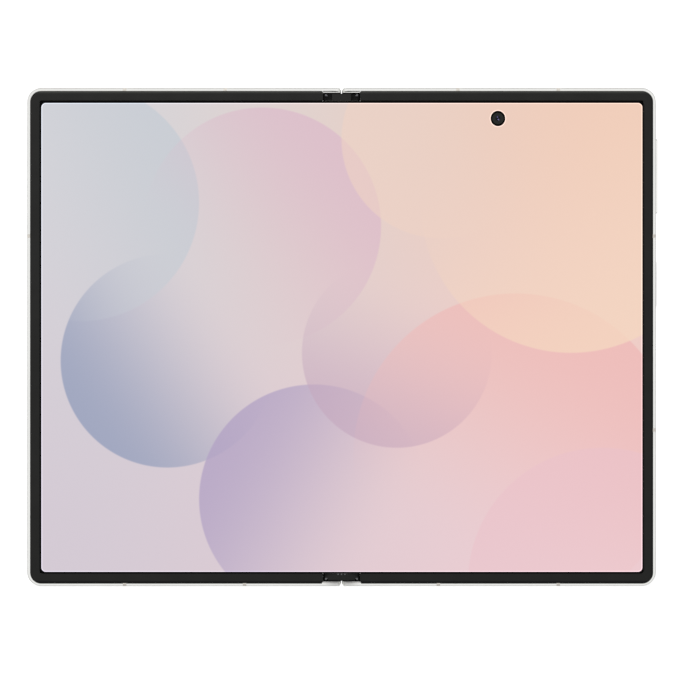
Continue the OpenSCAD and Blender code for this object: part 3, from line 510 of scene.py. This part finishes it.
def clear_black(name, smear=0.03, eye=None):
    """Polished glass over a black layer, with faint smears in its gloss, and a camera behind it at eye, with
    a painted glint at its centre.
    """
    finish = Finish(name, Coat_Weight=1.0, Coat_Roughness=0.02, Specular_IOR_Level=0.5)
    place = finish.place()
    smears = finish.noise(finish.stretch(place, 1, 0.35, 1), scale=35, detail=4)
    shade = finish.mix(smears, paint(7, 7, 9), paint(13, 13, 16))
    if eye:
        x, y, _ = finish.split(place)
        out = (x - eye.x).length(y - eye.y) / EYE_R
        shade = finish.mix(out.ease(1, 1.02), finish.ramp(out, CAMERA_RINGS), shade)
    return finish.feed(Base_Color=shade, Roughness=smears.vary(0.03, 0.03 + smear))


# The inner camera from its centre to the edge of its hole: a dark pupil, a grey mask and a black edge
PUPIL_RINGS = [(0.0, paint(22, 22, 28)), (0.26, paint(30, 30, 33)), (0.34, paint(46, 46, 46)),
               (0.5, paint(44, 45, 44)), (0.76, paint(44, 46, 43)), (0.8, BLACK), (1.0, BLACK)]

# Painted reflections in the inner camera's coating: place from its centre and radius in mm, and tint, which
# is full up to GLINT_CORE of the radius
GLINTS = [((-0.14, 0.44), 0.3, paint(108, 104, 150)), ((0.12, -0.26), 0.26, paint(138, 134, 190)),
          ((0.3, -0.48), 0.22, paint(78, 77, 82))]
GLINT_CORE = 0.3


def hole_camera(name, centre):
    """Camera behind the display's hole, with painted glints in its coating."""
    finish = Finish(name, Roughness=0.3, Specular_IOR_Level=0.02)
    x, y, _ = finish.split(finish.place())
    right, up = x - centre.x, y - centre.y
    shade = finish.ramp(right.length(up) / EYE_R, PUPIL_RINGS)
    for (glint_x, glint_y), radius, tint in GLINTS:
        away = (right - glint_x * MM).length(up - glint_y * MM)
        shade = finish.mix(1 - away.ease(GLINT_CORE * radius * MM, radius * MM), shade, tint)
    return finish.feed(Base_Color=shade)


# Violet and green rings of a coated lens, from its centre to its edge
COATING_RINGS = [(0.0, paint(14, 12, 30)), (0.16, paint(46, 36, 92)), (0.27, paint(22, 40, 66)),
                 (0.33, paint(6, 8, 12)), (0.48, paint(8, 8, 10)), (0.52, paint(34, 44, 42)),
                 (0.58, paint(10, 11, 12)), (0.8, paint(14, 12, 20)), (0.9, paint(34, 24, 46)),
                 (1.0, paint(8, 8, 10))]


def coated_lens(name, centre, radius):
    """Dark lens whose coating shows rings round its centre."""
    finish = Finish(name, Roughness=0.04, Coat_Weight=1.0, Coat_Roughness=0.01, Specular_IOR_Level=0.8)
    x, y, _ = finish.split(finish.place())
    out = (x - centre[0]).length(y - centre[1]) / radius
    return finish.feed(Base_Color=finish.ramp(out, COATING_RINGS))


def circuit_board(name):
    """Green solder mask with copper tracks and pads showing through."""
    finish = Finish(name, Specular_IOR_Level=0.5)
    place = finish.place()
    tracks = finish.out("ShaderNodeTexBrick", {"offset": 0.37, "squash": 1.6}, {
        "Vector": place, "Scale": 700, "Color1": paint(20, 74, 46), "Color2": paint(28, 92, 58),
        "Mortar": paint(70, 120, 70), "Mortar Size": 0.03})
    return finish.feed(Base_Color=tracks, Roughness=finish.noise(place, scale=400).vary(0.32, 0.5))


def foil_pouch(name):
    """Battery pouch: soft dents in a dark foil."""
    finish = Finish(name, Metallic=0.6)
    dents = finish.noise(finish.place(), scale=90, detail=3)
    return finish.feed(Base_Color=finish.mix(dents, paint(70, 72, 76), paint(96, 98, 102)),
                       Roughness=dents.vary(0.35, 0.5), Normal=finish.bump(dents, 0.05 * MM))


# The bezel's painted light and painted shade along its outer edge, and the black inner edge that it has
BEZEL_TINTS_AND_SHADING = ((bezel_painted_light, paint(72, 72, 69)), (bezel_painted_shade, paint(20, 20, 20)), (bezel_line, BLACK))

FINISHES = {
    # The frame's metal carries painted shade: black in its channel, darker on its lower end walls, and a
    # painted shadow beside the bezel
    "frame_metal": satin_metal("frame_metal", paint(238, 238, 235), black=frame_painted_shade),
    "spine_metal": satin_metal("spine_metal", paint(238, 238, 235)),
    "key_metal": satin_metal("key_metal", paint(240, 240, 237), 0.24),
    "lens_ring": satin_metal("lens_ring", paint(226, 226, 224), 0.2),
    "antenna_break": moulded("antenna_break", paint(219, 214, 206), 0.42, spread=0.05, metal=0.5),
    "rear_glass": etched_glass("rear_glass", paint(232, 232, 230)),
    "cover_glass": clear_black("cover_glass", eye=middle("cover_camera")),
    "seal": moulded("seal", paint(30, 30, 30), 0.7),
    "lens": clear_black("lens", smear=0.01),
    "camera": moulded("camera", paint(24, 24, 25), 0.5),
    "flash": moulded("flash", paint(244, 236, 196), 0.25, scale=2000),
    "battery": foil_pouch("battery"),
    "copper": brushed_metal("copper", paint(214, 142, 84)),
    "board": circuit_board("board"),
    "steel": brushed_metal("steel", paint(190, 191, 193)),
    "plate": brushed_metal("plate", paint(176, 178, 182)),
    "screen": screen_finish("screen", bends=False),
    "bending_screen": screen_finish("bending_screen", bends=True),
    "bezel": moulded("bezel", paint(38, 38, 37), 0.36, scale=9000, gloss=0.1, tints_and_shading=BEZEL_TINTS_AND_SHADING),
    # The end caps' ends are painted black as shade of the slit beside them
    "hinge_dark": moulded("hinge_dark", paint(38, 38, 37), 0.42, gloss=0.12, tints_and_shading=((cap_slit_shade, BLACK),)),
    "dark_steel": brushed_metal("dark_steel", paint(104, 104, 106), 0.34),
    "speaker": moulded("speaker", paint(28, 28, 28), 0.6),
    "flex": moulded("flex", paint(196, 138, 62), 0.35),
    "gold": brushed_metal("gold", paint(236, 190, 104)),
    "inner_camera": hole_camera("inner_camera", middle("inner_camera")),
}

# Nodes whose finish isn't the one of their slot in the record
OWN_FINISH = {"inner_camera": "inner_camera", "spine_cover": "spine_metal"}

for part in frame["record"]["subparts"]:
    for slot in NODES[part["node"]].material_slots:
        slot.material = FINISHES[OWN_FINISH.get(part["node"], part["material_slot"])]


# ------------------------------------------------------------------ Mesh helpers

def new_object(name, mesh, finish=None):
    made = bpy.data.objects.new(name, mesh)
    bpy.context.scene.collection.objects.link(made)
    if finish:
        made.data.materials.append(FINISHES[finish])
    return made


def mesh_of(name, build):
    """Closed mesh of a bmesh, with its normals outward."""
    mesh = bpy.data.meshes.new(name)
    bmesh.ops.recalc_face_normals(build, faces=build.faces)
    build.to_mesh(mesh)
    build.free()
    return mesh


def shade_by_angle(piece, degrees):
    """Smooth shading, with sharp edges kept where faces meet at more than the angle."""
    bpy.context.view_layer.objects.active = piece
    piece.select_set(True)
    bpy.ops.object.shade_smooth_by_angle(angle=math.radians(degrees))
    piece.select_set(False)


def lathe(name, finish, profile, centre, steps=96):
    """Turned piece: profile is a closed list of (radius, z) round the axis through centre."""
    build = bmesh.new()
    rows = []
    for radius, z in profile:
        if radius == 0:
            rows.append([build.verts.new((centre[0], centre[1], z))] * steps)
            continue
        turns = [2 * math.pi * i / steps for i in range(steps)]
        rows.append([build.verts.new((centre[0] + radius * math.cos(t), centre[1] + radius * math.sin(t), z))
                     for t in turns])
    on_axis = profile[0][0] == 0 and profile[-1][0] == 0
    pairs = list(zip(rows, rows[1:])) + ([] if on_axis else [(rows[-1], rows[0])])
    for row, following in pairs:
        for i in range(steps):
            j = (i + 1) % steps
            corners = list(dict.fromkeys([row[i], row[j], following[j], following[i]]))
            if len(corners) > 2:
                build.faces.new(corners)
    made = new_object(name, mesh_of(name, build), finish)
    shade_by_angle(made, 30)
    return made


# ------------------------------------------------------------------ Geometry Nodes for what repeats

ROW_INPUTS = {"Count X": "Int", "Count Y": "Int", "Pitch X": "Float", "Pitch Y": "Float", "Shift": "Float",
              "Size": "Vector", "Centre": "Vector", "Finish": "Material"}


def row_group():
    """Sets boxes in rows: Count and Pitch along X and Y, every other column moved by Shift."""
    group = bpy.data.node_groups.new("boxes_in_rows", "GeometryNodeTree")
    group.interface.new_socket("Geometry", in_out="OUTPUT", socket_type="NodeSocketGeometry")
    for name, kind in ROW_INPUTS.items():
        group.interface.new_socket(name, in_out="INPUT", socket_type="NodeSocket" + kind)
    tree = Tree(group)
    given = tree.node("NodeGroupInput").outputs
    count_x, count_y, pitch_x, pitch_y, shift, size, centre, finish = [
        Value(tree, given[name]) for name in ROW_INPUTS]
    grid = tree.out("GeometryNodeMeshGrid", {}, {
        "Size X": (count_x - 1) * pitch_x, "Size Y": (count_y - 1) * pitch_y,
        "Vertices X": count_x, "Vertices Y": count_y})
    odd = (tree.out("GeometryNodeInputIndex") / count_y).math("FLOOR").math("MODULO", 2)
    offset = tree.out("ShaderNodeCombineXYZ", {}, {"Y": odd * shift})
    points = tree.out("GeometryNodeSetPosition", {}, {"Geometry": grid, "Offset": offset})
    box = tree.out("GeometryNodeMeshCube", {}, {"Size": size})
    placed = tree.out("GeometryNodeInstanceOnPoints", {}, {"Points": points, "Instance": box})
    real = tree.out("GeometryNodeRealizeInstances", {}, {"Geometry": placed})
    sited = tree.out("GeometryNodeTransform", {}, {"Geometry": real, "Translation": centre})
    coated = tree.out("GeometryNodeSetMaterial", {}, {"Geometry": sited, "Material": finish})
    tree.node("NodeGroupOutput", {}, {"Geometry": coated})
    return group


ROWS = row_group()


def boxes(name, finish, count, pitch, size, centre, shift=0.0):
    """Boxes in rows as one plain mesh."""
    carrier = new_object(name + "_maker", bpy.data.meshes.new(name + "_maker"))
    modifier = carrier.modifiers.new("rows", "NODES")
    modifier.node_group = ROWS
    values = {"Count X": count[0], "Count Y": count[1], "Pitch X": pitch[0], "Pitch Y": pitch[1],
              "Shift": shift, "Size": size, "Centre": centre, "Finish": FINISHES[finish]}
    for item in ROWS.interface.items_tree:
        if item.item_type == "SOCKET" and item.in_out == "INPUT":
            modifier[item.identifier] = values[item.name]
    bpy.context.view_layer.update()
    ready = carrier.evaluated_get(bpy.context.evaluated_depsgraph_get())
    mesh = bpy.data.meshes.new_from_object(ready)
    bpy.data.objects.remove(carrier)
    return new_object(name, mesh)


# ------------------------------------------------------------------ Pieces over the fold

SIDES = {"main": 1, "cover": -1}


def rest_uv(mesh):
    """Keeps each corner's place at rest in a UV map."""
    layer = mesh.uv_layers.new(name="rest")
    for loop in mesh.loops:
        co = mesh.vertices[loop.vertex_index].co
        layer.data[loop.index].uv = (co.x / REST_SPAN + 0.5, co.y / REST_SPAN + 0.5)


def sheet_mesh(name, reach, y0, y1, z0, z1, steps, dip=0.0):
    """Closed flat sheet from the fold line, cut into steps so that it can bend. Its face dips at the line."""
    build = bmesh.new()
    rows = []
    for i in range(steps + 1):
        x = reach * i / steps
        face = z1 - dip * math.exp(-(x / CREASE_REACH) ** 2)
        corners = [(x, y0, z0), (x, y1, z0), (x, y1, face), (x, y0, face)]
        rows.append([build.verts.new(corner) for corner in corners])
    for row, following in zip(rows, rows[1:]):
        for k in range(4):
            build.faces.new((row[k], row[(k + 1) % 4], following[(k + 1) % 4], following[k]))
    build.faces.new(rows[0])
    build.faces.new(rows[-1])
    return mesh_of(name, build)


def bend(piece):
    """Bakes a piece's place into its mesh; it sets no bend between the spine and a half."""
    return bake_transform(piece)


def bending_strip(half, side):
    """Half of the flexible display's strip over the spine."""
    start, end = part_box("fold_strip")
    mesh = sheet_mesh("strip_" + half, side * end.x, start.y, end.y, start.z, end.z, 44, CREASE_DEPTH)
    rest_uv(mesh)
    strip = new_object("fold_strip_" + half, mesh, "bending_screen")
    shade_by_angle(strip, 40)
    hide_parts("fold_strip")
    bend(strip)


def bending_lattice(half, side):
    """Slotted backing under the strip: ribs along the fold, with short bridges between them."""
    start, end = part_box("fold_lattice")
    length = end.y - start.y
    thick = end.z - start.z
    level = (start.z + end.z) / 2
    rib_w, rib_pitch = 0.34 * MM, 0.66 * MM
    bridge_l, bridge_pitch = 1.1 * MM, 5.4 * MM
    count = int(end.x / rib_pitch)
    centre = side * count * rib_pitch / 2
    ribs = boxes("lattice_ribs_" + half, "plate", (count, 1), (rib_pitch, 0), (rib_w, length, thick),
                 (centre, 0, level))
    bridges = int(length / bridge_pitch) - 1
    ties = boxes("lattice_ties_" + half, "plate", (count - 1, bridges), (rib_pitch, bridge_pitch),
                 (rib_pitch - rib_w, bridge_l, thick), (centre, -bridge_pitch / 4, level), bridge_pitch / 2)
    for piece in (ribs, ties):
        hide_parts("fold_lattice")
        bend(piece)


def bending_flex(half, side):
    """Flat cable over the spine, down to its plug on the board of each half."""
    start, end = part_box("hinge_flex")
    cable_t, plug_l = 0.12 * MM, 3 * MM
    under = end.z - cable_t
    mesh = sheet_mesh("flex_" + half, side * end.x, start.y, end.y, under, end.z, 60)
    cable = new_object("hinge_flex_" + half, mesh, "flex")
    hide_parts("hinge_flex")
    bend(cable)
    size = (plug_l, end.y - start.y, under - start.z)
    centre = (side * (end.x - plug_l / 2), (start.y + end.y) / 2, (under + start.z) / 2)
    plug = boxes("hinge_flex_plug_" + half, "flex", (1, 1), (0, 0), size, centre)
    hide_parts("hinge_flex")
    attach(plug, half + "_half")


for half_name, half_side in SIDES.items():
    bending_strip(half_name, half_side)
    bending_lattice(half_name, half_side)
    bending_flex(half_name, half_side)


# ------------------------------------------------------------------ Cameras and flash

# Profiles from a piece's face: radius and depth in mm
INNER_LENS = ((0, 0.35), (0.62, 0.35), (0.62, 0.14), (0.45, 0.09), (0.25, 0.05), (0, 0.04))
BARREL = ((3.7, 0), (3.62, 0.05), (3.4, 0.1), (3.35, 0.17), (3.05, 0.19), (3.0, 0.26), (2.7, 0.28),
          (2.65, 0.34), (2.3, 0.35), (0, 0.36))

# Domed front lens of a rear camera: its radius, its height, the depth of its rim, the steps of its arc,
# and the radius of its coating's rings
DOME_R = 2.3 * MM
DOME_RISE = 0.28 * MM
DOME_SEAT = 0.36 * MM
DOME_STEPS = 10
COATING_R = 2.4 * MM


def inner_lens():
    """Small domed lens in the hole of the inner display."""
    face = high("inner_camera").z
    profile = [(radius * MM, face - depth * MM) for radius, depth in INNER_LENS]
    lens = lathe("inner_lens", "inner_camera", profile, middle("inner_camera"), 48)
    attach(lens, "main_half")


def rear_lenses():
    """Stepped barrels with a domed and coated front lens behind each ring."""
    start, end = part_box("lens_glass")
    radius = (end.x - start.x) / 2
    base, face = end.z, start.z
    steps = [(radius, base), (radius, face)]
    steps += [(step_r * MM, face + depth * MM) for step_r, depth in BARREL] + [(0, base)]
    turns = [math.pi / 2 * i / DOME_STEPS for i in range(DOME_STEPS + 1)]
    dome = [(DOME_R * math.sin(t), face + DOME_SEAT - DOME_RISE * math.cos(t)) for t in turns]
    dome += [(0, face + DOME_SEAT)]
    for number, y in enumerate((start.y + radius, end.y - radius)):
        centre = ((start.x + end.x) / 2, y)
        name = f"rear_lens_{number}"
        FINISHES[name] = coated_lens(name, centre, COATING_R)
        barrel = lathe(f"rear_barrel_{number}", "camera", steps, centre)
        front = lathe(name, name, dome, centre)
        for piece in (barrel, front):
            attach(piece, "main_half")
            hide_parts("lens_glass")


def flash_lens():
    """Window over the lamp, with stepped rings on its face."""
    start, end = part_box("flash_window")
    radius = (end.x - start.x) / 2
    face = start.z
    margin, groove, wall = 0.3 * MM, 0.09 * MM, 0.01 * MM
    rings = 6
    profile = [(0, end.z), (radius, end.z), (radius, face)]
    for i in range(rings):
        outer = (radius - margin) * (1 - i / rings)
        profile += [(outer, face), (outer - wall, face + groove)]
    profile += [(0, face)]
    window = lathe("flash_lens", "flash", profile, middle("flash_window"), 64)
    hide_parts("flash_window")
    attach(window, "main_half")


inner_lens()
rear_lenses()
flash_lens()


# ------------------------------------------------------------------ Lower edge

def plug_contacts():
    """Gold contacts on both faces of the tongue in the plug socket."""
    centre = middle("usb_socket")
    mouth = low("usb_socket").y
    inset, tongue_half = 4.1 * MM, 0.35 * MM
    count, pitch = 12, 0.5 * MM
    size = (0.26 * MM, 3.2 * MM, 0.03 * MM)
    for name, level in (("upper", centre.z + tongue_half), ("lower", centre.z - tongue_half)):
        place = (centre.x, mouth + inset, level)
        row = boxes("plug_contacts_" + name, "gold", (count, 1), (pitch, 0), size, place)
        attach(row, "main_half")


plug_contacts()


# ------------------------------------------------------------------ Ground, lamps, world and camera

# Half side of the ground, its white, the strength of its glow, and the glow's share to the eye
GROUND_REACH = 4.0
GROUND_WHITE = (0.9, 0.9, 0.9, 1)
GROUND_GLOW = 1.5
GLOW_SHARE = 0.6

# World in reflections: the ground's strength beside the sky's 1, and the strengths of its uneven part
# with the range of the noise that they follow
GROUND_LIGHT = 0.68
UNEVEN_LIGHT = (0.42, 1)
UNEVEN_NOISE = (0.38, 0.62)

# World as light: strengths of the ground and the sky
FLOOR_LIGHT = 0.8
SKY_LIGHT = 0.38

# Heights of a direction, where 1 is straight up: the ground turns into the sky in reflections and as
# light, and the ground turns uneven
HORIZON = (-0.1, 0.3)
LIGHT_HORIZON = (-0.25, 0)
UNEVEN_FROM = (-0.15, -0.4)


def floor():
    """White ground that keeps a soft shadow. It is seen from above only, and lets the sky light the back."""
    mesh = bpy.data.meshes.new("ground")
    corners = [(x * GROUND_REACH, y * GROUND_REACH, 0) for x, y in ((-1, -1), (1, -1), (1, 1), (-1, 1))]
    mesh.from_pydata(corners, [], [(0, 1, 2, 3)])
    ground = new_object("ground", mesh)
    material = bpy.data.materials.new("ground")
    material.use_nodes = True
    tree = Tree(material.node_tree)
    to_eye = tree.out("ShaderNodeLightPath", {}, {}, "Is Camera Ray")
    from_below = tree.out("ShaderNodeNewGeometry", {}, {}, "Backfacing")
    white = tree.out("ShaderNodeBsdfDiffuse", {}, {"Color": GROUND_WHITE})
    glow = tree.out("ShaderNodeEmission", {}, {"Strength": GROUND_GLOW})
    clear = tree.out("ShaderNodeBsdfTransparent")
    top = tree.out("ShaderNodeMixShader", {}, {0: to_eye * GLOW_SHARE, 1: white, 2: glow})
    both = tree.out("ShaderNodeMixShader", {}, {0: to_eye - from_below, 1: clear, 2: top})
    tree.node("ShaderNodeOutputMaterial", {}, {"Surface": both})
    ground.data.materials.append(material)


def world():
    """White to the eye. In reflections, a white sky over an uneven, greyer ground. As light, dimmer."""
    made = bpy.data.worlds.new("studio")
    bpy.context.scene.world = made
    made.use_nodes = True
    tree = Tree(made.node_tree)
    rays = tree.node("ShaderNodeLightPath").outputs
    to_eye, through, mirrored = [Value(tree, rays[f"Is {kind} Ray"])
                                 for kind in ("Camera", "Transmission", "Glossy")]
    direction = tree.out("ShaderNodeTexCoord", {}, {}, "Generated")
    up = tree.split(direction)[2]
    down = up.span(*UNEVEN_FROM, 0, 1)
    uneven = tree.noise(direction, scale=2.6, detail=1).span(*UNEVEN_NOISE, *UNEVEN_LIGHT)
    dome = up.span(*HORIZON, GROUND_LIGHT, 1) * (1 - down) + uneven * down
    light = up.span(*LIGHT_HORIZON, FLOOR_LIGHT, SKY_LIGHT) * (1 - mirrored)
    strength = to_eye.most(through).most(dome * mirrored).most(light)
    background = tree.out("ShaderNodeBackground", {}, {"Color": (1, 1, 1, 1), "Strength": strength})
    tree.node("ShaderNodeOutputWorld", {}, {"Surface": background})


def lamp(name, power, size, place):
    """Square lamp that looks at the phone. Only its light is seen, and metal and glass mirror the sky."""
    data = bpy.data.lights.new(name, "AREA")
    data.energy = power
    data.size = size
    made = bpy.data.objects.new(name, data)
    bpy.context.scene.collection.objects.link(made)
    made.location = place
    made.rotation_euler = (-Vector(place)).to_track_quat("-Z", "Y").to_euler()
    made.visible_glossy = False


def camera():
    """Camera straight above, so far up that a pixel covers PIXEL of the bezel's face."""
    data = bpy.data.cameras.new("camera")
    data.lens = LENS_MM
    data.sensor_width = SENSOR_MM
    data.clip_start = 0.01
    data.clip_end = 20
    made = bpy.data.objects.new("camera", data)
    bpy.context.scene.collection.objects.link(made)
    offset_x = (PHOTO_PIXELS / 2 - PHONE_CENTRE_PX[0]) * PIXEL
    offset_y = (PHONE_CENTRE_PX[1] - PHOTO_PIXELS / 2) * PIXEL
    distance = PHOTO_PIXELS * PIXEL * LENS_MM / SENSOR_MM
    made.location = (offset_x, offset_y, BEZEL.z + distance)
    bpy.context.scene.camera = made


floor()
world()
lamp("key", power=3.0, size=0.3, place=(-0.2, 0.46, 0.34))
lamp("fill", power=0.5, size=1.2, place=(0.8, -0.5, 0.8))
camera()
bpy.context.scene.view_settings.view_transform = "Standard"
